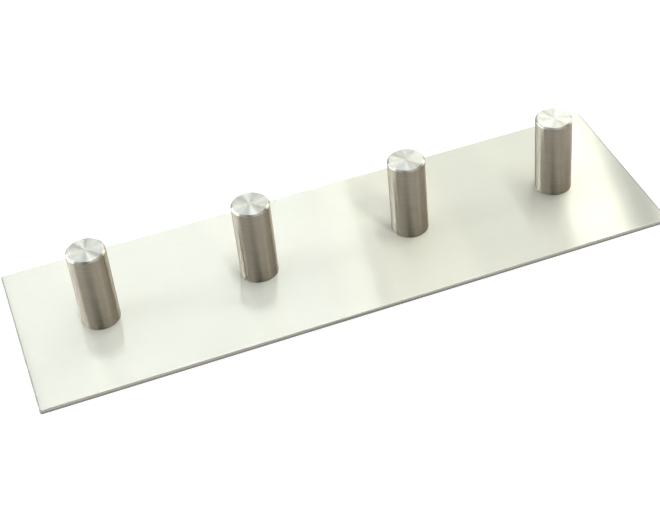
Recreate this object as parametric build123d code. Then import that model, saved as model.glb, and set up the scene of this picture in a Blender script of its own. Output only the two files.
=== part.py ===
from build123d import *

import os
from math import radians, tan

# Wall hook rack: a thin brushed plate with a row of turned pegs, each held from behind by a countersunk
# screw, and strips of foam tape that stick the rack to a wall. Millimetres.
# X runs along the rack, Z is up, and the room is on the -Y side. The wall is the plane Y = 0, and the
# origin is the middle of the face that the tape offers to it.

# Plate
plate_length = 272.0
plate_height = 85.0
plate_thickness = 2.0
plate_corner_radius = 1.0
plate_edge_break = 0.4  # bevel round the front face

# Pegs
peg_count = 4
peg_pitch = 68.0
peg_diameter = 16.0
peg_length = 36.0
peg_rim_bevel = 0.8
peg_base_bevel = 0.2

# Countersunk screws
screw_diameter = 4.0
screw_length = 12.0  # from the flat of the head to the tip
screw_head_diameter = 8.0
screw_head_angle = 90.0
screw_head_rim = 0.2  # straight rim above the cone
screw_head_sink = 0.1  # how far the flat of the head lies below the back of the plate
screw_tip_bevel = 0.4
recess_span = 4.4  # cross recess, tip to tip at the flat of the head
recess_root = 1.8  # the same at its floor
recess_width = 0.8
recess_depth = 1.4

# Fits of the screws
screw_clearance = 0.05  # round the shank, in the plate and in the peg
mouth_clearance = 0.3  # round the cone where it enters the peg
tip_clearance = 1.5  # past the tip of the screw
drill_point_angle = 118.0

# Foam tape
tape_thickness = 1.0
tape_width = 25.0
tape_margin = 4.0  # from the ends of a strip, and from the end strips, to the edges of the plate

# Worked out from the sizes above. A depth is measured from the back of the plate towards the room.
peg_places = [(i - (peg_count - 1) / 2) * peg_pitch for i in range(peg_count)]
peg_radius = peg_diameter / 2
head_radius = screw_head_diameter / 2
shank_radius = screw_diameter / 2
bore_radius = shank_radius + screw_clearance
cone_slope = tan(radians(screw_head_angle / 2))  # radius lost per millimetre of depth
cone_start = screw_head_sink + screw_head_rim
screw_tip = screw_head_sink + screw_length
peg_end = plate_thickness + peg_length


def turned(outline):
    """A solid of revolution about Y from a closed outline of (radius, depth) points."""
    points = [(radius, -tape_thickness - depth) for radius, depth in outline]
    return revolve(make_face(Polyline(*points, close=True)), Axis.Y)


def cone_depth(radius):
    """The depth at which the cone of the screw head has come down to this radius."""
    return cone_start + (head_radius - radius) / cone_slope


def screw_hole():
    """What the countersink and the clearance hole take out of the plate."""
    start = -1.0  # clear of the back of the plate
    end = max(plate_thickness, cone_depth(bore_radius)) + 1.0
    return turned(
        [
            (0, start),
            (head_radius + (cone_start - start) * cone_slope, start),
            (bore_radius, cone_depth(bore_radius)),
            (bore_radius, end),
            (0, end),
        ]
    )


def make_backplate():
    outline = RectangleRounded(plate_length, plate_height, plate_corner_radius)
    plate = extrude(Plane.XZ.offset(tape_thickness) * outline, plate_thickness)
    front = plate.faces().sort_by(Axis.Y)[0]
    plate = chamfer(front.edges(), plate_edge_break)
    for x in peg_places:
        plate -= Pos(x, 0, 0) * screw_hole()
    return plate


def make_peg():
    """A bar with a blind tapped hole, drawn at its thread's outer size, and a wider mouth for the cone."""
    base = plate_thickness
    cone_at_base = head_radius - (base - cone_start) * cone_slope
    mouth_radius = max(cone_at_base, bore_radius) + mouth_clearance
    mouth_end = base + (mouth_radius - bore_radius) / cone_slope
    bore_end = screw_tip + tip_clearance
    point_end = bore_end + bore_radius / tan(radians(drill_point_angle / 2))
    return turned(
        [
            (mouth_radius, base),
            (bore_radius, mouth_end),
            (bore_radius, bore_end),
            (0, point_end),
            (0, peg_end),
            (peg_radius - peg_rim_bevel, peg_end),
            (peg_radius, peg_end - peg_rim_bevel),
            (peg_radius, base + peg_base_bevel),
            (peg_radius - peg_base_bevel, base),
        ]
    )


def make_screw():
    """A countersunk machine screw with a cross recess. Its thread is drawn as a plain shank."""
    screw = turned(
        [
            (0, screw_head_sink),
            (head_radius, screw_head_sink),
            (head_radius, cone_start),
            (shank_radius, cone_depth(shank_radius)),
            (shank_radius, screw_tip - screw_tip_bevel),
            (shank_radius - screw_tip_bevel, screw_tip),
            (0, screw_tip),
        ]
    )
    top = -tape_thickness - screw_head_sink
    floor = top - recess_depth
    wing = make_face(
        Polyline(
            (-recess_span / 2, top),
            (recess_span / 2, top),
            (recess_root / 2, floor),
            (-recess_root / 2, floor),
            close=True,
        )
    )
    wing = extrude(wing, recess_width / 2, both=True)
    return screw - wing - Rot(Y=90) * wing


def tape_places():
    """The middle of each strip: one at each end of the plate, and one midway between two pegs."""
    end = plate_length / 2 - tape_margin - tape_width / 2
    between = [(a + b) / 2 for a, b in zip(peg_places, peg_places[1:])]
    return [-end, *between, end]


def make_tape_strip():
    strip = Box(tape_width, tape_thickness, plate_height - 2 * tape_margin)
    return Pos(0, -tape_thickness / 2, 0) * strip


nodes = {"backplate": make_backplate()}
for number, x in enumerate(peg_places, start=1):
    nodes[f"peg_{number}"] = Pos(x, 0, 0) * make_peg()
    nodes[f"peg_screw_{number}"] = Pos(x, 0, 0) * make_screw()
for number, x in enumerate(tape_places(), start=1):
    nodes[f"tape_strip_{number}"] = Pos(x, 0, 0) * make_tape_strip()

os.makedirs("parts", exist_ok=True)
for name, solid in nodes.items():
    export_step(solid, f"parts/{name}.step")
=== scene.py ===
from math import ceil, cos, pi, radians, sin, sqrt, tan

import bmesh
import bpy
from mathutils import Matrix, Quaternion, Vector


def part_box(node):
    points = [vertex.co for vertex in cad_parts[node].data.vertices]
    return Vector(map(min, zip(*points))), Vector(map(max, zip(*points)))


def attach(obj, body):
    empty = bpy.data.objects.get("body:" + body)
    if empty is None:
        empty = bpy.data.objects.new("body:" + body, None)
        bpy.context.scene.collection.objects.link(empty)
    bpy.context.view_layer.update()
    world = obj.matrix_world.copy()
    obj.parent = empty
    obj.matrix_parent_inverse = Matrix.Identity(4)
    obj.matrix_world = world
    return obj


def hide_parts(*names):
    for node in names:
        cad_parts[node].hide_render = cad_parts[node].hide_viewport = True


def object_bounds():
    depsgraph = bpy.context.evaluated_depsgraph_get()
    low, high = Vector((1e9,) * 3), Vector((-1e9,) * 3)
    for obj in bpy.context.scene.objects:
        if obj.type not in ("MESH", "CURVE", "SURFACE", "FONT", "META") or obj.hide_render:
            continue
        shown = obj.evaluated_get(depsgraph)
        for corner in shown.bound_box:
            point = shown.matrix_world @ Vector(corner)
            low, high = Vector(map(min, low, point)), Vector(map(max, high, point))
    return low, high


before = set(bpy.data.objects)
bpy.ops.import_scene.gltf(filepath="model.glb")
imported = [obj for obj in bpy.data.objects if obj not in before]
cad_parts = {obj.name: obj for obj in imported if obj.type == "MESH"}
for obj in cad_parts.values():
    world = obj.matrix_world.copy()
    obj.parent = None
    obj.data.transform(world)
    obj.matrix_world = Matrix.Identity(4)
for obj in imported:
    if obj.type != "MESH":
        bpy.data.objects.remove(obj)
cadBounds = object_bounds()
print("frame loaded")

mm = 0.001
slack = 0.004 * mm       # two places closer than this count as one


# Modelling helpers. Everything happens at the origin, and a finished piece keeps its place in its mesh

def clearSelection():
    bpy.ops.object.select_all(action="DESELECT")


def holdOnly(piece):
    clearSelection()
    piece.select_set(True)
    bpy.context.view_layer.objects.active = piece


def nameIt(name):                       # for the primitive just added, whose place and turn go into its mesh
    piece = bpy.context.object
    piece.name = name
    piece.data.name = name
    bpy.ops.object.transform_apply(location=True, rotation=True, scale=True)
    return piece


def pick(piece, kind, test):            # kind is faces, edges or verts, and test takes one of them
    bpy.ops.mesh.select_mode(type={"faces": "FACE", "edges": "EDGE", "verts": "VERT"}[kind])
    bpy.ops.mesh.select_all(action="DESELECT")
    mesh = bmesh.from_edit_mesh(piece.data)
    for item in getattr(mesh, kind):
        item.select_set(test(item))
    bmesh.update_edit_mesh(piece.data)


def near(value, goal):
    return abs(value - goal) < slack


def liesAt(y):                          # picks what lies flat in the plane at this y
    return lambda item: all(near(v.co.y, y) for v in item.verts)


def runsThrough(edge):                  # picks an edge that goes straight through a sheet, along Y
    first, second = (v.co for v in edge.verts)
    return near(first.x, second.x) and near(first.z, second.z)


def bevelPicked(width, segments):
    bpy.ops.mesh.bevel(
        offset=width * mm, offset_type="OFFSET", segments=segments, profile=0.5, affect="EDGES")


def pushPicked(depth, across=1.0, up=None):     # the picked face moves towards the room, and may change size
    bpy.ops.mesh.extrude_region_move(TRANSFORM_OT_translate={"value": (0, -depth * mm, 0)})
    bpy.ops.transform.resize(value=(across, 1, across if up is None else up), center_override=(0, 0, 0))


def pushToPoint(depth):                 # the same, and it ends in a point
    pushPicked(depth)
    bpy.ops.mesh.merge(type="CENTER")


def addModifier(piece, kind, **settings):
    modifier = piece.modifiers.new(kind.lower(), kind)
    for name, value in settings.items():
        setattr(modifier, name, value)
    bpy.ops.object.modifier_apply(modifier=modifier.name)


def combine(piece, other, operation):   # a boolean with another mesh, which is then thrown away
    holdOnly(piece)
    addModifier(piece, "BOOLEAN", object=other, operation=operation, solver="EXACT")
    bpy.data.objects.remove(other)


def smoothFaces(piece, angle):          # round where it turns gently, and true where a face is large and flat
    holdOnly(piece)
    bpy.ops.object.shade_smooth_by_angle(angle=radians(angle))
    addModifier(piece, "WEIGHTED_NORMAL", mode="FACE_AREA", weight=100, keep_sharp=True)


def slideAlong(piece, x):               # moves the mesh along the rack, and leaves the object at the origin
    piece.location.x = x
    bpy.ops.object.transform_apply(location=True, rotation=False, scale=False)


def copyAlong(piece, name, x):          # a copy with its own mesh
    holdOnly(piece)
    bpy.ops.object.duplicate(linked=False)
    copy = bpy.context.object
    copy.name = name
    copy.data.name = name
    slideAlong(copy, x)
    return copy


def fitOut(piece, node, material):
    piece.data.materials.clear()
    piece.data.materials.append(material)
    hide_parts(node)
    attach(piece, "root")


# Where things are, from the frame

plateLow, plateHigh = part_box("backplate")
pegLow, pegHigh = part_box("peg_1")
screwLow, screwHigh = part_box("peg_screw_1")
tapeLow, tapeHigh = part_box("tape_strip_1")
pegRadius = (pegHigh.x - pegLow.x) / 2
headRadius = (screwHigh.x - screwLow.x) / 2


def nodesNamed(start):
    return sorted(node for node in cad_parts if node.startswith(start) and node[len(start):].isdigit())


def middleOf(node):
    low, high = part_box(node)
    return (low.x + high.x) / 2


# The plate: a sheet with small round corners, an eased front edge and four countersinks from behind

plateShape = {
    "cornerRadius": 1.0, "cornerSegments": 8,
    "frontBreak": 0.4, "frontSegments": 4,
    "backBreak": 0.15, "backSegments": 2,
    "sinkRadius": 4.3,                  # of the countersink where it meets the back
    "burrBreak": 0.12,
    "cutterLift": 1.0,                  # how far its cutter stands behind the plate
    "cutterReach": 3.0,                 # and how deep the cutter's cone goes, past the front of the plate
    "holeSides": 96,
    "smoothAngle": 35,
}


def makeCountersink(x):
    shape = plateShape
    wide = shape["sinkRadius"] + shape["burrBreak"]
    start = shape["sinkRadius"] - shape["burrBreak"]
    lift, reach = shape["cutterLift"] * mm, shape["cutterReach"]
    clearSelection()
    bpy.ops.mesh.primitive_cylinder_add(
        vertices=shape["holeSides"], radius=wide * mm, depth=lift, rotation=(pi / 2, 0, 0),
        location=(0, plateHigh.y + lift / 2, 0))
    cutter = nameIt("countersinkCutter")
    bpy.ops.object.mode_set(mode="EDIT")
    pick(cutter, "faces", liesAt(plateHigh.y))
    pushPicked(shape["burrBreak"], start / wide)
    pushPicked(reach, (start - reach) / start)
    bpy.ops.object.mode_set(mode="OBJECT")
    slideAlong(cutter, x)
    return cutter


def makePlate():
    shape = plateShape
    clearSelection()
    bpy.ops.mesh.primitive_cube_add(size=1, location=(plateLow + plateHigh) / 2, scale=plateHigh - plateLow)
    plate = nameIt("rackPlate")
    bpy.ops.object.mode_set(mode="EDIT")
    pick(plate, "edges", runsThrough)
    bevelPicked(shape["cornerRadius"], shape["cornerSegments"])
    pick(plate, "edges", liesAt(plateLow.y))
    bevelPicked(shape["frontBreak"], shape["frontSegments"])
    pick(plate, "edges", liesAt(plateHigh.y))
    bevelPicked(shape["backBreak"], shape["backSegments"])
    bpy.ops.object.mode_set(mode="OBJECT")
    for node in nodesNamed("peg_"):
        combine(plate, makeCountersink(middleOf(node)), "DIFFERENCE")
    smoothFaces(plate, shape["smoothAngle"])
    return plate


# The pegs: bar stock turned off with a bevelled rim, a faced end with its centre mark, and a blind hole

pegShape = {
    "sides": 96,
    "rimBevel": 0.8, "rimBreak": 0.15, "breakSegments": 2,
    "baseBevel": 0.2, "baseSegments": 3,
    "centreRadius": 0.3, "centreDepth": 0.04,
    "mouthRadius": 2.6, "boreRadius": 2.05,
    "boreDepth": 11.6,                  # from the base of the peg to where the drill point starts
    "pointDepth": 1.23,
    "smoothAngle": 30,
}


def makePeg():
    shape = pegShape
    mouth = shape["mouthRadius"] - shape["boreRadius"]      # how deep the bore's mouth opens out
    clearSelection()
    bpy.ops.mesh.primitive_cylinder_add(
        vertices=shape["sides"], radius=pegRadius, depth=pegHigh.y - pegLow.y, rotation=(pi / 2, 0, 0),
        location=(0, (pegLow.y + pegHigh.y) / 2, 0))
    peg = nameIt("barPeg")
    bpy.ops.object.mode_set(mode="EDIT")
    onEnd, onSide = liesAt(pegLow.y), liesAt(pegLow.y + shape["rimBevel"] * mm)
    pick(peg, "edges", onEnd)
    bevelPicked(shape["rimBevel"], 1)
    pick(peg, "edges", lambda edge: onEnd(edge) or onSide(edge))
    bevelPicked(shape["rimBreak"], shape["breakSegments"])
    pick(peg, "edges", liesAt(pegHigh.y))
    bevelPicked(shape["baseBevel"], shape["baseSegments"])
    pick(peg, "faces", onEnd)
    bpy.ops.mesh.inset(
        thickness=pegRadius - (shape["rimBevel"] + shape["rimBreak"] + shape["centreRadius"]) * mm)
    pushToPoint(-shape["centreDepth"])
    pick(peg, "faces", liesAt(pegHigh.y))
    bpy.ops.mesh.inset(thickness=pegRadius - (shape["baseBevel"] + shape["mouthRadius"]) * mm)
    pushPicked(mouth, shape["boreRadius"] / shape["mouthRadius"])
    pushPicked(shape["boreDepth"] - mouth)
    pushToPoint(shape["pointDepth"])
    bpy.ops.object.mode_set(mode="OBJECT")
    smoothFaces(peg, shape["smoothAngle"])
    return peg


# The screws: countersunk machine screws with a cut thread and a cross recess

screwShape = {
    "sides": 64,
    "rim": 0.2,                         # straight rim of the head, above its cone
    "headBreak": 0.05, "headSegments": 2,
    "shankRadius": 2.0, "rootRadius": 1.62,
    "neck": 0.7,                        # plain stretch below the head
    "tipBevel": 0.4,
    "pitch": 0.7, "threadSteps": 36,
    "threadGap": 0.5,                   # from the neck to the middle of the first turn
    "tipTurns": 0.5,                    # how much of a turn is left off at the tip, at least
    "ridgeSink": 0.1,                   # how deep in the shank the ridge starts
    "crestGap": 0.02,                   # how far its crest stays below the shank's full size
    "ridgeBase": 0.9, "ridgeCrest": 0.15,       # its width, as a share of the pitch, and its crest's, of that
    "weld": 0.0001,                     # vertices of the ridge this close are merged
    "recessSpan": 4.4, "recessRoot": 1.8, "recessDepth": 1.4,
    "recessWidth": 0.8, "recessFloorWidth": 0.6,
    "recessStep": 0.02,                 # how much deeper one slot of the cross is than the other
    "cutterLift": 0.5,                  # how far the recess cutter stands out of the head
    "smoothAngle": 28,
}


def makeShank(length):                  # from the flat of the head to the tip, as thick as the thread's root
    shape = screwShape
    head, neck, root = headRadius / mm, shape["shankRadius"], shape["rootRadius"]
    cone, step = head - neck, neck - root
    below = length - shape["rim"] - cone - shape["neck"] - step - shape["tipBevel"]
    clearSelection()
    bpy.ops.mesh.primitive_cylinder_add(
        vertices=shape["sides"], radius=headRadius, depth=shape["rim"] * mm, rotation=(pi / 2, 0, 0),
        location=(0, screwHigh.y - shape["rim"] * mm / 2, 0))
    shank = nameIt("countersunkScrew")
    bpy.ops.object.mode_set(mode="EDIT")
    pick(shank, "faces", liesAt(screwHigh.y - shape["rim"] * mm))
    pushPicked(cone, neck / head)
    pushPicked(shape["neck"])
    pushPicked(step, root / neck)
    pushPicked(below)
    pushPicked(shape["tipBevel"], (root - shape["tipBevel"]) / root)
    pick(shank, "edges", liesAt(screwHigh.y))
    bevelPicked(shape["headBreak"], shape["headSegments"])
    bpy.ops.object.mode_set(mode="OBJECT")
    return shank


def makeThread(start, turns):           # a ridge wound round the shank, from start towards the tip
    shape = screwShape
    foot, crest = shape["rootRadius"] - shape["ridgeSink"], shape["shankRadius"] - shape["crestGap"]
    middle = (foot + crest) / 2 * mm
    clearSelection()
    bpy.ops.mesh.primitive_plane_add(size=1, location=(middle, start, 0))
    thread = bpy.context.object
    thread.scale = ((crest - foot) * mm, shape["pitch"] * shape["ridgeBase"] * mm, 1)
    nameIt("threadRidge")
    bpy.ops.object.mode_set(mode="EDIT")
    pick(thread, "verts", lambda v: v.co.x > middle)
    bpy.ops.transform.resize(value=(1, shape["ridgeCrest"], 1), center_override=(0, start, 0))
    bpy.ops.object.mode_set(mode="OBJECT")
    steps = shape["threadSteps"]
    addModifier(thread, "SCREW", axis="Y", angle=2 * pi, screw_offset=-shape["pitch"] * mm, iterations=turns,
                steps=steps, render_steps=steps, use_merge_vertices=False)
    bpy.ops.object.mode_set(mode="EDIT")
    bpy.ops.mesh.select_all(action="SELECT")
    bpy.ops.mesh.remove_doubles(threshold=shape["weld"] * mm)
    bpy.ops.mesh.fill_holes(sides=4)        # the two ends of the ridge
    bpy.ops.mesh.select_all(action="SELECT")
    bpy.ops.mesh.normals_make_consistent(inside=False)
    bpy.ops.object.mode_set(mode="OBJECT")
    return thread


def makeRecessCutter(turn, depth):      # one slot of the cross
    shape = screwShape
    lift = shape["cutterLift"]
    taper = (shape["recessSpan"] - shape["recessRoot"]) / depth
    wide = shape["recessSpan"] + taper * lift
    clearSelection()
    bpy.ops.mesh.primitive_cube_add(
        size=1, location=(0, screwHigh.y + (lift - depth) / 2 * mm, 0),
        scale=(wide * mm, (depth + lift) * mm, shape["recessWidth"] * mm))
    cutter = nameIt("recessCutter")
    bpy.ops.object.mode_set(mode="EDIT")
    pick(cutter, "faces", liesAt(screwHigh.y - depth * mm))
    bpy.ops.transform.resize(
        value=(shape["recessRoot"] / wide, 1, shape["recessFloorWidth"] / shape["recessWidth"]),
        center_override=(0, 0, 0))
    bpy.ops.mesh.select_all(action="SELECT")
    bpy.ops.transform.rotate(value=turn, orient_axis="Y", center_override=(0, 0, 0))
    bpy.ops.object.mode_set(mode="OBJECT")
    return cutter


def makeScrew():
    shape = screwShape
    length = (screwHigh.y - screwLow.y) / mm
    head = shape["rim"] + headRadius / mm - shape["shankRadius"]
    threadStart = head + shape["neck"] + shape["threadGap"]
    turns = int((length - threadStart - shape["tipBevel"]) / shape["pitch"] - shape["tipTurns"])
    screw = makeShank(length)
    combine(screw, makeThread(screwHigh.y - threadStart * mm, turns), "UNION")
    combine(screw, makeRecessCutter(0, shape["recessDepth"]), "DIFFERENCE")
    combine(screw, makeRecessCutter(pi / 2, shape["recessDepth"] + shape["recessStep"]), "DIFFERENCE")
    smoothFaces(screw, shape["smoothAngle"])
    return screw


# The tape: a foam core between two adhesive films, its cut edge drawn in a little

tapeShape = {
    "film": 0.06,
    "drawIn": 0.18,                     # how far the foam stands back from the edge of the films
    "waist": 0.12,                      # how much narrower the foam is again halfway through
    "cornerRadius": 0.5, "cornerSegments": 4,
    "smoothAngle": 30,
}


def makeTapeStrip():
    shape = tapeShape
    width, height = tapeHigh.x - tapeLow.x, tapeHigh.z - tapeLow.z
    film, drawIn, waist = shape["film"], shape["drawIn"] * mm, shape["waist"] * mm
    core = (tapeHigh.y - tapeLow.y) / mm - 2 * film
    clearSelection()
    bpy.ops.mesh.primitive_cube_add(
        size=1, location=(0, tapeHigh.y - film * mm / 2, (tapeLow.z + tapeHigh.z) / 2),
        scale=(width, film * mm, height))
    strip = nameIt("foamTape")
    bpy.ops.object.mode_set(mode="EDIT")
    pick(strip, "edges", runsThrough)
    bevelPicked(shape["cornerRadius"], shape["cornerSegments"])
    pick(strip, "faces", liesAt(tapeHigh.y - film * mm))
    inner = ((width - 2 * drawIn) / width, (height - 2 * drawIn) / height)
    narrow = (1 - waist / width, 1 - waist / height)
    pushPicked(0, *inner)
    pushPicked(core / 4, *narrow)
    pushPicked(core / 2)
    pushPicked(core / 4, 1 / narrow[0], 1 / narrow[1])
    pushPicked(0, 1 / inner[0], 1 / inner[1])
    pushPicked(film)
    bpy.ops.object.mode_set(mode="OBJECT")
    smoothFaces(strip, shape["smoothAngle"])
    return strip


# Shader helpers

def addNode(tree, kind, inputs=None, **settings):      # a socket given as an input is linked, a value is set
    node = tree.nodes.new("ShaderNode" + kind)
    for name, value in settings.items():
        setattr(node, name, value)
    for name, value in (inputs or {}).items():
        if isinstance(value, bpy.types.NodeSocket):
            tree.links.new(value, node.inputs[name])
        else:
            node.inputs[name].default_value = value
    return node


def maths(tree, operation, first, second=None, third=None):
    values = {i: v for i, v in enumerate((first, second, third)) if v is not None}
    return addNode(tree, "Math", values, operation=operation).outputs[0]


def vectorMaths(tree, operation, *values):
    return addNode(tree, "VectorMath", dict(enumerate(values)), operation=operation).outputs


def average(tree, first, second):
    return maths(tree, "MULTIPLY_ADD", first, 0.5, maths(tree, "MULTIPLY", second, 0.5))


def spread(tree, value, low, high):     # from 0 at low to 1 at high, eased at both; low may be the larger
    values = {"Value": value, "From Min": low, "From Max": high}
    return addNode(tree, "MapRange", values, interpolation_type="SMOOTHSTEP").outputs[0]


def noise(tree, place, scale, detail, distortion=0.0):
    values = {"Vector": place, "Scale": scale, "Detail": detail, "Distortion": distortion}
    return addNode(tree, "TexNoise", values).outputs["Fac"]


def blendColours(tree, factor, first, second):
    return addNode(tree, "Mix", {0: factor, 6: first, 7: second}, data_type="RGBA").outputs[2]


def blendShaders(tree, factor, first, second):
    return addNode(tree, "MixShader", {0: factor, 1: first.outputs[0], 2: second.outputs[0]})


def newMaterial(name):
    material = bpy.data.materials.new(name)
    material.use_nodes = True
    tree = material.node_tree
    tree.nodes.clear()
    return material, tree


def newGroup(name, inputs, outputs):    # inputs are name, kind and starting value
    tree = bpy.data.node_groups.new(name, "ShaderNodeTree")
    for label, kind, value in inputs:
        socket = tree.interface.new_socket(name=label, in_out="INPUT", socket_type="NodeSocket" + kind)
        if value is not None:
            socket.default_value = value
    for label, kind in outputs:
        tree.interface.new_socket(name=label, in_out="OUTPUT", socket_type="NodeSocket" + kind)
    start = tree.nodes.new("NodeGroupInput")
    end = tree.nodes.new("NodeGroupOutput")
    return tree, start.outputs, end.inputs


def useGroup(tree, group, inputs):
    return addNode(tree, "Group", inputs, node_tree=group).outputs


# Effects that several finishes share

def makeBrushedGrain():                 # belt marks along X: fine lines, broader bands and deep scratches
    tree, given, result = newGroup("brushedGrain", [
        ("Vector", "Vector", None), ("Lines", "Float", 4000.0), ("Length", "Float", 60.0),
    ], [("Height", "Float"), ("Tone", "Float")])

    def streaks(along, across, detail, shift):
        length = maths(tree, "MULTIPLY", given["Length"], along)
        lines = maths(tree, "MULTIPLY", given["Lines"], across)
        scale = addNode(tree, "CombineXYZ", {0: length, 1: lines, 2: lines}).outputs[0]
        move = (shift, shift * 1.7, shift * 0.6)        # so that no two layers line up
        place = vectorMaths(tree, "MULTIPLY_ADD", given["Vector"], scale, move)[0]
        return noise(tree, place, 1.0, detail)

    fine = streaks(along=1.0, across=1.0, detail=3.0, shift=0.0)
    broad = streaks(along=0.4, across=0.22, detail=2.0, shift=13.0)
    scratch = spread(tree, streaks(along=0.25, across=0.5, detail=1.0, shift=41.0), low=0.70, high=0.80)
    mixed = average(tree, broad, fine)
    tree.links.new(maths(tree, "SUBTRACT", mixed, maths(tree, "MULTIPLY", scratch, 0.5)), result["Height"])
    tree.links.new(spread(tree, mixed, low=0.35, high=0.65), result["Tone"])
    return tree


def makeTurnedLines():                  # tool marks round the Y axis, on an end face and on a side alike
    tree, given, result = newGroup("turnedLines", [
        ("Vector", "Vector", None), ("Lines", "Float", 5000.0),
    ], [("Height", "Float"), ("Tone", "Float"), ("Radius", "Float"), ("Depth", "Float")])
    parts = addNode(tree, "SeparateXYZ", {0: given["Vector"]}).outputs
    flat = addNode(tree, "CombineXYZ", {0: parts[0], 2: parts[2]}).outputs[0]
    radius = vectorMaths(tree, "LENGTH", flat)["Value"]
    outward = vectorMaths(tree, "NORMALIZE", flat)[0]
    rings = addNode(tree, "CombineXYZ", {
        0: maths(tree, "MULTIPLY", radius, given["Lines"]),
        1: maths(tree, "MULTIPLY", parts[1], given["Lines"]),
    }).outputs[0]

    def toolMarks(across, around, detail, shift):
        place = vectorMaths(tree, "MULTIPLY_ADD", rings, (across, across, 0), (shift, 0, shift))[0]
        place = vectorMaths(tree, "MULTIPLY_ADD", outward, (around,) * 3, place)[0]
        return noise(tree, place, 1.0, detail)

    fine = toolMarks(across=1.0, around=0.9, detail=2.0, shift=0.0)
    broad = toolMarks(across=0.25, around=0.5, detail=2.0, shift=7.0)
    mixed = average(tree, broad, fine)
    tree.links.new(mixed, result["Height"])
    tree.links.new(spread(tree, mixed, low=0.35, high=0.65), result["Tone"])
    tree.links.new(radius, result["Radius"])
    tree.links.new(parts[1], result["Depth"])
    return tree


def makeEdgeWear():                     # a mask along an edge, from the distance to it, broken by noise
    tree, given, result = newGroup("edgeWear", [
        ("Vector", "Vector", None), ("Distance", "Float", 0.0), ("Width", "Float", 0.0005),
        ("Grain", "Float", 900.0), ("Break", "Float", 0.6),
    ], [("Mask", "Float")])
    ragged = maths(tree, "SUBTRACT", noise(tree, given["Vector"], given["Grain"], 3.0), 0.5)
    limit = maths(tree, "MULTIPLY", given["Width"], maths(tree, "MULTIPLY_ADD", ragged, given["Break"], 1.0))
    closeness = maths(tree, "SUBTRACT", 1.0, maths(tree, "DIVIDE", given["Distance"], limit))
    tree.links.new(spread(tree, closeness, low=0.0, high=1.0), result["Mask"])
    return tree


def makeHandMarks():                    # soft smudges and dust, where the piece has been handled
    tree, given, result = newGroup("handMarks", [
        ("Vector", "Vector", None), ("Size", "Float", 45.0),
    ], [("Smudge", "Float"), ("Dust", "Float")])
    soft = noise(tree, given["Vector"], given["Size"], 3.0, distortion=0.6)
    fineness = maths(tree, "MULTIPLY", given["Size"], 30.0)
    specks = noise(tree, given["Vector"], fineness, 2.0)
    tree.links.new(spread(tree, soft, low=0.38, high=0.72), result["Smudge"])
    tree.links.new(spread(tree, specks, low=0.68, high=0.78), result["Dust"])
    return tree


brushedGrain = makeBrushedGrain()
turnedLines = makeTurnedLines()
edgeWear = makeEdgeWear()
handMarks = makeHandMarks()


def finishSteel(tree, finish, colour, roughness, grain, share, tangent):
    # belt or tool marks: a broad haze from the principled shader, and a sheen drawn out across the marks
    normal = addNode(tree, "Bump", {"Height": grain, "Distance": finish["depth"]}).outputs[0]
    haze = addNode(tree, "BsdfPrincipled", {
        "Base Color": colour, "Metallic": finish["metallic"], "Normal": normal, "Tangent": tangent,
        "Roughness": maths(tree, "ADD", roughness, finish["haze"] - finish["sheen"]),
        "Anisotropic": 1.0, "Anisotropic Rotation": 0.25,
    })
    sheen = addNode(tree, "BsdfAnisotropic", {
        "Color": colour, "Roughness": roughness, "Anisotropy": finish["stretch"],
        "Normal": normal, "Tangent": tangent,
    })
    both = blendShaders(tree, share, haze, sheen)
    addNode(tree, "OutputMaterial", {"Surface": both.outputs[0]})


plateFinish = {
    "colour": (0.850, 0.862, 0.808, 1), "bright": (0.90, 0.91, 0.88, 1), "dull": (0.800, 0.812, 0.750, 1),
    # painted shade: a dark line along each end, and the cut face painted darker, lighter at the front and
    # darker towards the back
    "paintedEndShade": (0.50, 0.50, 0.48, 1), "shadedBurnish": (0.64, 0.63, 0.57, 1), "shadedFracture": (0.32, 0.305, 0.27, 1),
    "metallic": 0.1, "haze": 0.5, "sheen": 0.22, "stretch": 0.92, "share": 0.5,
    "lines": 4200.0, "lineLength": 55.0, "depth": 2.5e-6, "smudges": 32.0,
    "edgeWidth": 0.0006, "endBand": 0.00055, "cutBand": 0.00006,
    "endFade": 1.5, "cutFade": 2.0,     # where each band has faded out, as a share of its width
    "tearShadeBlur": 0.2,                    # of half the thickness, either side of where the tear and the painted shade towards the back start
    "dullShare": 0.3, "brightShare": 0.7,
    "toneRough": 0.02, "smudgeRough": 0.012, "wornRough": -0.04, "cutRough": 0.15,
}


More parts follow.
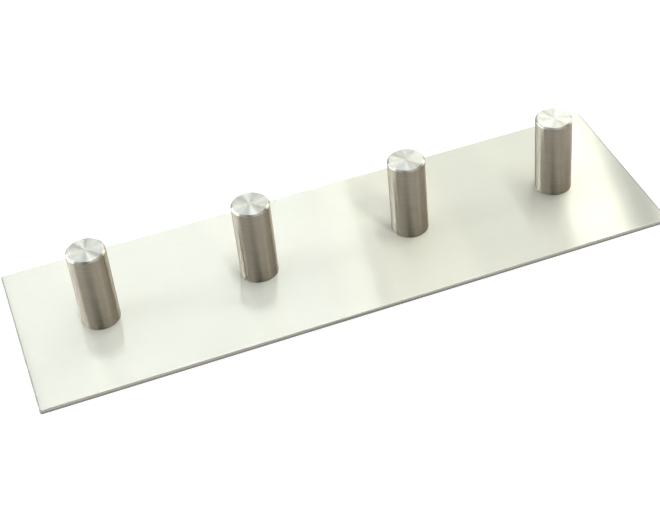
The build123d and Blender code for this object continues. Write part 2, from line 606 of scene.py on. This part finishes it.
def makePlateSteel():
    finish = plateFinish
    material, tree = newMaterial("brushedPlateSteel")
    coords = addNode(tree, "TexCoord").outputs["Object"]
    middle = (plateLow + plateHigh) / 2
    half = (plateHigh - plateLow) / 2
    place = addNode(tree, "Mapping", {"Vector": coords, "Location": tuple(-middle)}).outputs[0]
    grain = useGroup(tree, brushedGrain, {
        "Vector": place, "Lines": finish["lines"], "Length": finish["lineLength"]})
    marks = useGroup(tree, handMarks, {"Vector": place, "Size": finish["smudges"]})
    parts = addNode(tree, "SeparateXYZ", {0: place}).outputs
    toEnd = maths(tree, "SUBTRACT", half.x, maths(tree, "ABSOLUTE", parts[0]))
    toSide = maths(tree, "SUBTRACT", half.z, maths(tree, "ABSOLUTE", parts[2]))
    worn = useGroup(tree, edgeWear, {
        "Vector": place, "Distance": toSide, "Width": finish["edgeWidth"]})["Mask"]
    dull = maths(tree, "MULTIPLY", grain["Tone"], finish["dullShare"])
    bright = maths(tree, "MULTIPLY", worn, finish["brightShare"])
    colour = blendColours(tree, dull, finish["colour"], finish["dull"])
    colour = blendColours(tree, bright, colour, finish["bright"])
    # the sheared edge, burnished where the blade went in and torn towards the back, is painted darker than
    # the sheet as a painted dark reflection, and darker still towards the back as painted shade where it
    # meets the wall
    atEnd = spread(tree, toEnd, finish["endBand"] * finish["endFade"], finish["endBand"])
    toEdge = maths(tree, "MINIMUM", toEnd, toSide)
    cut = spread(tree, toEdge, finish["cutBand"] * finish["cutFade"], finish["cutBand"])
    tornAndShaded = spread(tree, parts[1], -half.y * finish["tearShadeBlur"], half.y * finish["tearShadeBlur"])
    shearedAndShaded = blendColours(tree, tornAndShaded, finish["shadedBurnish"], finish["shadedFracture"])
    # the ends' edge break painted darker: a painted shade line along each end
    colour = blendColours(tree, atEnd, colour, finish["paintedEndShade"])
    colour = blendColours(tree, cut, colour, shearedAndShaded)
    smoothest = finish["sheen"] - finish["toneRough"] / 2
    roughness = maths(tree, "MULTIPLY_ADD", grain["Tone"], finish["toneRough"], smoothest)
    roughness = maths(tree, "MULTIPLY_ADD", marks["Smudge"], finish["smudgeRough"], roughness)
    roughness = maths(tree, "MULTIPLY_ADD", worn, finish["wornRough"], roughness)
    roughness = maths(tree, "MULTIPLY_ADD", cut, finish["cutRough"], roughness)
    tangent = addNode(tree, "Tangent", direction_type="RADIAL", axis="Z").outputs[0]
    finishSteel(tree, finish, colour, roughness, grain["Height"], finish["share"], tangent)
    return material


pegFinish = {
    # painted shade: the side's two colours are darker and browner than the end's, and the bevel's is darker
    # to dim its highlight
    "side": (0.376, 0.338, 0.280, 1), "sideDull": (0.295, 0.264, 0.216, 1),
    "end": (0.73, 0.745, 0.72, 1), "endDull": (0.665, 0.68, 0.655, 1),
    "bevel": (0.46, 0.45, 0.42, 1), "bright": (0.86, 0.86, 0.83, 1),
    "metallic": 0.9, "haze": 0.35, "sheen": 0.22, "stretch": 0.85, "share": 0.7, "endShare": 0.14,
    "lines": 5200.0, "depth": 2.5e-6, "smudges": 70.0, "edgeWidth": 0.0007,
    "endFrom": 0.2, "endBy": 0.05,      # how deep the end's and the bevel's finish start and are full,
    "bevelFrom": 1.1, "bevelBy": 0.95,  # as shares of the rim bevel
    "dullShare": 0.5, "brightShare": 0.7,
    "toneRough": 0.03, "smudgeRough": 0.015,
}


def makePegSteel(number, x):
    finish = pegFinish
    material, tree = newMaterial("turnedPegSteel%d" % number)
    coords = addNode(tree, "TexCoord").outputs["Object"]
    place = addNode(tree, "Mapping", {"Vector": coords, "Location": (-x, -pegLow.y, 0)}).outputs[0]
    lines = useGroup(tree, turnedLines, {"Vector": place, "Lines": finish["lines"]})
    marks = useGroup(tree, handMarks, {"Vector": coords, "Size": finish["smudges"]})
    fromSide = maths(tree, "ABSOLUTE", maths(tree, "SUBTRACT", pegRadius, lines["Radius"]))
    worn = useGroup(tree, edgeWear, {
        "Vector": coords, "Width": finish["edgeWidth"],
        "Distance": maths(tree, "ADD", fromSide, lines["Depth"])})["Mask"]
    # the bar's side is painted darker and browner than the end, a painted shade and painted warm reflection,
    # and the bevel is painted darker to dim its highlight, a painted shade. The end and its bevel also change
    # how much sheen there is, which a group may not do, so the depth is read here
    bevel = pegShape["rimBevel"] * mm
    depth = addNode(tree, "SeparateXYZ", {0: place}).outputs[1]
    onEnd = spread(tree, depth, bevel * finish["endFrom"], bevel * finish["endBy"])
    onBevel = spread(tree, depth, bevel * finish["bevelFrom"], bevel * finish["bevelBy"])
    dull = maths(tree, "MULTIPLY", lines["Tone"], finish["dullShare"])
    bright = maths(tree, "MULTIPLY", worn, finish["brightShare"])
    side = blendColours(tree, dull, finish["side"], finish["sideDull"])
    end = blendColours(tree, dull, finish["end"], finish["endDull"])
    colour = blendColours(tree, onBevel, side, finish["bevel"])
    colour = blendColours(tree, onEnd, colour, end)
    colour = blendColours(tree, bright, colour, finish["bright"])
    smoothest = finish["sheen"] - finish["toneRough"] / 2
    roughness = maths(tree, "MULTIPLY_ADD", lines["Tone"], finish["toneRough"], smoothest)
    roughness = maths(tree, "MULTIPLY_ADD", marks["Smudge"], finish["smudgeRough"], roughness)
    share = maths(tree, "MULTIPLY_ADD", onBevel, finish["endShare"] - finish["share"], finish["share"])
    tangent = addNode(tree, "Tangent", direction_type="RADIAL", axis="Y").outputs[0]
    finishSteel(tree, finish, colour, roughness, lines["Height"], share, tangent)
    return material


screwFinish = {
    "colour": (0.60, 0.60, 0.59, 1), "bright": (0.78, 0.78, 0.77, 1), "dull": (0.40, 0.39, 0.37, 1),
    "lines": 6000.0, "depth": 1.5e-6, "roughness": 0.28, "smudges": 160.0, "edgeWidth": 0.0003,
    "greaseShadeFrom": -0.0003, "greaseShadeBy": -0.0012,     # where grease and painted shade start and are full, from the head's flat
    "dullShare": 0.4, "greaseShadeShare": 0.35, "smudgeRough": 0.12,
}


def makeScrewSteel(number, x):
    finish = screwFinish
    material, tree = newMaterial("plainScrewSteel%d" % number)
    coords = addNode(tree, "TexCoord").outputs["Object"]
    place = addNode(tree, "Mapping", {"Vector": coords, "Location": (-x, -screwHigh.y, 0)}).outputs[0]
    lines = useGroup(tree, turnedLines, {"Vector": place, "Lines": finish["lines"]})
    marks = useGroup(tree, handMarks, {"Vector": coords, "Size": finish["smudges"]})
    fromSide = maths(tree, "SUBTRACT", headRadius, lines["Radius"])
    fromTop = maths(tree, "ABSOLUTE", lines["Depth"])
    worn = useGroup(tree, edgeWear, {
        "Vector": coords, "Width": finish["edgeWidth"],
        "Distance": maths(tree, "ADD", fromSide, fromTop)})["Mask"]
    # darker below the head's flat, in the cross recess and down the shank: grease, and painted shade in the
    # recess
    greaseAndShade = spread(tree, lines["Depth"], finish["greaseShadeFrom"], finish["greaseShadeBy"])
    dull = maths(tree, "MULTIPLY", lines["Tone"], finish["dullShare"])
    greaseShadeAmount = maths(tree, "MULTIPLY", greaseAndShade, finish["greaseShadeShare"])
    colour = blendColours(tree, dull, finish["colour"], finish["dull"])
    colour = blendColours(tree, greaseShadeAmount, colour, finish["dull"])
    colour = blendColours(tree, worn, colour, finish["bright"])
    roughness = maths(tree, "MULTIPLY_ADD", marks["Smudge"], finish["smudgeRough"], finish["roughness"])
    normal = addNode(tree, "Bump", {"Height": lines["Height"], "Distance": finish["depth"]}).outputs[0]
    shader = addNode(tree, "BsdfPrincipled", {
        "Base Color": colour, "Metallic": 1.0, "Roughness": roughness, "Normal": normal})
    addNode(tree, "OutputMaterial", {"Surface": shader.outputs[0]})
    return material


tapeFinish = {
    "foam": (0.045, 0.045, 0.047, 1), "cell": (0.10, 0.10, 0.10, 1), "film": (0.16, 0.165, 0.17, 1),
    "dust": (0.45, 0.44, 0.42, 1),
    "cells": 3200.0, "cellDepth": 6e-5, "weave": 260.0, "smudges": 90.0,
    "cellFrom": 0.1, "cellBy": 0.7,
    "filmFrom": 0.00008, "filmBy": 0.00005,     # below the face, where the film starts and is full
    "smudgeShare": 0.5, "dustShare": 0.5,
    "foamRough": 0.9, "filmRough": 0.45, "rippleRough": 0.15, "rippleHeight": 0.35, "shine": 0.4,
}


def makeFoamTape():                     # closed cells on the cut edge, and a smoother film on each face
    finish = tapeFinish
    material, tree = newMaterial("foamTapeRubber")
    coords = addNode(tree, "TexCoord").outputs["Object"]
    middle, half = (tapeLow.y + tapeHigh.y) / 2, (tapeHigh.y - tapeLow.y) / 2
    place = addNode(tree, "Mapping", {"Vector": coords, "Location": (0, -middle, 0)}).outputs[0]
    cells = addNode(tree, "TexVoronoi", {"Vector": place, "Scale": finish["cells"]}, feature="SMOOTH_F1")
    cell = spread(tree, cells.outputs["Distance"], finish["cellFrom"], finish["cellBy"])
    depth = maths(tree, "ABSOLUTE", addNode(tree, "SeparateXYZ", {0: place}).outputs[1])
    film = spread(tree, depth, half - finish["filmFrom"], half - finish["filmBy"])
    ripple = noise(tree, place, finish["weave"], 4.0)
    marks = useGroup(tree, handMarks, {"Vector": place, "Size": finish["smudges"]})
    smudge = maths(tree, "MULTIPLY", marks["Smudge"], finish["smudgeShare"])
    dust = maths(tree, "MULTIPLY", marks["Dust"], finish["dustShare"])
    foam = blendColours(tree, cell, finish["foam"], finish["cell"])
    skin = blendColours(tree, smudge, finish["film"], finish["cell"])
    skin = blendColours(tree, dust, skin, finish["dust"])
    colour = blendColours(tree, film, foam, skin)
    smoother = finish["filmRough"] - finish["foamRough"]
    roughness = maths(tree, "MULTIPLY_ADD", film, smoother, finish["foamRough"])
    roughness = maths(tree, "MULTIPLY_ADD", ripple, finish["rippleRough"], roughness)
    pits = maths(tree, "MULTIPLY", cell, maths(tree, "SUBTRACT", 1.0, film))
    height = maths(tree, "MULTIPLY_ADD", ripple, finish["rippleHeight"], pits)
    normal = addNode(tree, "Bump", {"Height": height, "Distance": finish["cellDepth"]}).outputs[0]
    shader = addNode(tree, "BsdfPrincipled", {
        "Base Color": colour, "Metallic": 0.0, "Roughness": roughness, "Normal": normal,
        "Specular IOR Level": finish["shine"]})
    addNode(tree, "OutputMaterial", {"Surface": shader.outputs[0]})
    return material


print("finishes made")


# Making and placing the pieces

def placeCopies(sample, nodeStart, name, finishFor):
    for number, node in enumerate(nodesNamed(nodeStart), start=1):
        x = middleOf(node)
        piece = copyAlong(sample, "%s%d" % (name, number), x)
        fitOut(piece, node, finishFor(number, x))
    bpy.data.objects.remove(sample)


def makeRack():
    fitOut(makePlate(), "backplate", makePlateSteel())
    print("plate made")
    placeCopies(makePeg(), "peg_", "rackPeg", makePegSteel)
    print("pegs made")
    placeCopies(makeScrew(), "peg_screw_", "pegScrew", makeScrewSteel)
    print("screws made")
    foam = makeFoamTape()
    placeCopies(makeTapeStrip(), "tape_strip_", "tapeStrip", lambda number, x: foam)
    print("tape made")


makeRack()


# The floor: a sheet of white paper behind the rack, seen white, that takes the rack's shadow

floorValues = {"size": 3.0, "gap": 0.03, "grey": 0.8, "glow": 0.9, "shade": 0.25}


def makeFloor():
    values = floorValues
    clearSelection()
    bpy.ops.mesh.primitive_plane_add(
        size=values["size"], location=(0, cadBounds[1][1] + values["gap"], 0), rotation=(pi / 2, 0, 0))
    floor = nameIt("floor")
    material, tree = newMaterial("floorPaper")
    paper = addNode(tree, "BsdfDiffuse", {"Color": (values["grey"],) * 3 + (1,)})
    glow = addNode(tree, "Emission", {"Color": (1, 1, 1, 1), "Strength": values["glow"]})
    shaded = addNode(tree, "BsdfDiffuse", {"Color": (values["shade"],) * 3 + (1,)})
    seen = addNode(tree, "AddShader", {0: glow.outputs[0], 1: shaded.outputs[0]})
    rays = addNode(tree, "LightPath")
    direct = maths(tree, "MAXIMUM", rays.outputs["Is Camera Ray"], rays.outputs["Is Glossy Ray"])
    direct = maths(tree, "MAXIMUM", direct, rays.outputs["Is Transmission Ray"])
    lit = blendShaders(tree, direct, paper, seen)
    clear = addNode(tree, "BsdfTransparent")
    behind = addNode(tree, "NewGeometry").outputs["Backfacing"]
    hidden = maths(tree, "MAXIMUM", rays.outputs["Is Shadow Ray"], behind)
    final = blendShaders(tree, hidden, lit, clear)
    addNode(tree, "OutputMaterial", {"Surface": final.outputs[0]})
    floor.data.materials.append(material)


makeFloor()
print("floor laid")


# The room round it, which the camera sees as white

roomValues = {
    "upper": (0.42, 0.42, 0.40, 1),         # above the rack, down to straight out from the plate
    "front": (0.07, 0.07, 0.068, 1),        # straight out from the plate, and below, where the viewer stands
    "underLeft": (0.95, 0.93, 0.90, 1),     # beside the viewer, close to the wall
    "underRight": (2.0, 1.8, 1.55, 1),
    "back": (0.75, 0.75, 0.74, 1),
    "frontAngles": (82, 98),                # each change starts and ends here: 0 is up, and 90 straight out
    "underAngles": (148, 162),
    "leftShares": (-0.5, -0.7), "rightShares": (0.45, 0.65),    # along X, as a share of the way out
    "backShares": (-0.02, 0.1),             # the same along Y
}


def makeRoom():
    values = roomValues
    world = bpy.data.worlds.new("studio")
    bpy.context.scene.world = world
    world.use_nodes = True
    tree = world.node_tree
    tree.nodes.clear()
    parts = addNode(tree, "SeparateXYZ", {0: addNode(tree, "TexCoord").outputs["Generated"]}).outputs
    rise = maths(tree, "ARCTAN2", maths(tree, "MULTIPLY", parts[1], -1.0), parts[2])
    lower = spread(tree, rise, *(radians(angle) for angle in values["frontAngles"]))
    under = spread(tree, rise, *(radians(angle) for angle in values["underAngles"]))
    left = maths(tree, "MULTIPLY", under, spread(tree, parts[0], *values["leftShares"]))
    right = maths(tree, "MULTIPLY", under, spread(tree, parts[0], *values["rightShares"]))
    behind = spread(tree, parts[1], *values["backShares"])
    colour = blendColours(tree, lower, values["upper"], values["front"])
    colour = blendColours(tree, left, colour, values["underLeft"])
    colour = blendColours(tree, right, colour, values["underRight"])
    colour = blendColours(tree, behind, colour, values["back"])
    felt = addNode(tree, "Background", {"Color": colour})
    seen = addNode(tree, "Background", {"Color": (1, 1, 1, 1)})
    rays = addNode(tree, "LightPath")
    mirrored = maths(tree, "MAXIMUM", rays.outputs["Is Glossy Ray"], rays.outputs["Is Transmission Ray"])
    mirrored = maths(tree, "MULTIPLY", mirrored, behind)
    direct = maths(tree, "MAXIMUM", rays.outputs["Is Camera Ray"], mirrored)
    addNode(tree, "OutputWorld", {"Surface": blendShaders(tree, direct, felt, seen).outputs[0]})


makeRoom()
print("room painted")


# Soft boxes on a ring about the rack. Across is where a box starts and ends along X, as a share of the ring's
# radius; rise is the angle it spans, where 0 is straight up, 90 straight out and 180 straight down; glow is
# the brightness of its face

lampRing = 2.5
panelSpan = 22.0                        # a taller box is made of several panels, so that it follows the ring
lamps = {
    "farLeftLow": {"across": (-0.99, -0.8), "rise": (2, 20), "glow": 26.0, "tint": (0.9, 0.97, 1.0)},
    "sideLeft": {"across": (-0.995, -0.96), "rise": (20, 120), "glow": 12.0, "tint": (0.95, 1.0, 0.98)},
    "leftLow": {"across": (-0.8, -0.55), "rise": (2, 20), "glow": 9.5, "tint": (0.9, 0.97, 1.0)},
    "farLeft": {"across": (-0.98, -0.8), "rise": (62, 100), "glow": 3.5, "tint": (0.95, 1.0, 0.98)},
    "left": {"across": (-0.8, -0.4), "rise": (66, 126), "glow": 0.8, "tint": (0.98, 1.0, 0.97)},
    "nearLeft": {"across": (-0.2, -0.05), "rise": (35, 66), "glow": 2.7, "tint": (0.98, 1.0, 0.97)},
    "topStrip": {"across": (-0.053, 0.2), "rise": (61, 70), "glow": 6.0, "tint": (0.98, 1.0, 0.97)},
    "topFront": {"across": (-0.053, 0.228), "rise": (82, 115), "glow": 2.95, "tint": (0.98, 1.0, 0.97)},
    "lowRight": {"across": (0.2, 0.228), "rise": (2, 62), "glow": 1.7, "tint": (1.0, 1.0, 0.87)},
    "overRight": {"across": (0.228, 0.3), "rise": (82, 100), "glow": 3.5, "tint": (1.0, 1.0, 0.87)},
    "frontRight": {"across": (0.228, 0.3), "rise": (115, 135), "glow": 4.2, "tint": (1.0, 0.95, 0.8)},
    "middleRight": {"across": (0.3, 0.386), "rise": (55, 115), "glow": 1.6, "tint": (1.0, 1.0, 0.87)},
    "bandLow": {"across": (0.386, 0.435), "rise": (35, 62), "glow": 1.8, "tint": (1.0, 1.0, 0.87)},
    "brightBand": {"across": (0.386, 0.425), "rise": (62, 100), "glow": 4.7, "tint": (1.0, 1.0, 0.87)},
    "right": {"across": (0.4535, 0.5535), "rise": (2, 62), "glow": 4.8, "tint": (1.0, 0.98, 0.84)},
    "outerRight": {"across": (0.5535, 0.7), "rise": (2, 62), "glow": 0.7, "tint": (1.0, 0.98, 0.84)},
    "outerFront": {"across": (0.45, 0.7), "rise": (100, 155), "glow": 0.5, "tint": (1.0, 0.95, 0.87)},
    "farRightLow": {"across": (0.85, 0.98), "rise": (2, 20), "glow": 6.2, "tint": (1.0, 0.95, 0.87)},
    "farRight": {"across": (0.85, 0.98), "rise": (20, 90), "glow": 4.3, "tint": (1.0, 0.95, 0.87)},
}


def makePanel(name, values, low, high):     # one flat panel of a soft box, square to the rack
    start, end = values["across"]
    across, rise = (start + end) / 2, (low + high) / 2
    reach = sqrt(1 - across * across)
    outward = Vector((across, -reach * sin(rise), reach * cos(rise)))
    sideways = (Vector((1, 0, 0)) - outward * outward.x).normalized()
    data = bpy.data.lights.new(name, "AREA")
    data.shape = "RECTANGLE"
    data.size = lampRing * (end - start) / sideways.x
    data.size_y = 2 * lampRing * reach * tan((high - low) / 2)
    data.energy = values["glow"] * pi * data.size * data.size_y
    data.color = values["tint"]
    lamp = bpy.data.objects.new(name, data)
    bpy.context.scene.collection.objects.link(lamp)
    turn = Matrix((sideways, outward.cross(sideways), outward)).transposed()
    lamp.matrix_world = Matrix.Translation(outward * lampRing) @ turn.to_4x4()
    lamp.visible_camera = False


def makeLamps():
    for name, values in lamps.items():
        low, high = (radians(angle) for angle in values["rise"])
        panels = ceil((high - low) / radians(panelSpan))
        step = (high - low) / panels
        for panel in range(panels):
            makePanel("%s%d" % (name, panel + 1), values, low + step * panel, low + step * (panel + 1))


makeLamps()
print("lamps set")


# The camera stands below the rack and to its left, and is rolled as for a rack lying on a table

cameraValues = {
    "place": (-0.1334, -0.4262, -0.4772),
    "aim": (0.0319, -0.003, 0.0035),
    "roll": 32.17,
    "lens": 83.46,
    "shift": (-0.11, -0.06),
}


def makeCamera():
    values = cameraValues
    data = bpy.data.cameras.new("camera")
    data.lens = values["lens"]
    data.shift_x, data.shift_y = values["shift"]
    camera = bpy.data.objects.new("camera", data)
    bpy.context.scene.collection.objects.link(camera)
    camera.location = values["place"]
    sight = Vector(values["aim"]) - camera.location
    roll = Quaternion((0, 0, 1), -radians(values["roll"]))
    camera.rotation_mode = "QUATERNION"
    camera.rotation_quaternion = sight.to_track_quat("-Z", "Y") @ roll
    bpy.context.scene.camera = camera


makeCamera()
bpy.context.scene.view_settings.view_transform = "Standard"
print("camera set")
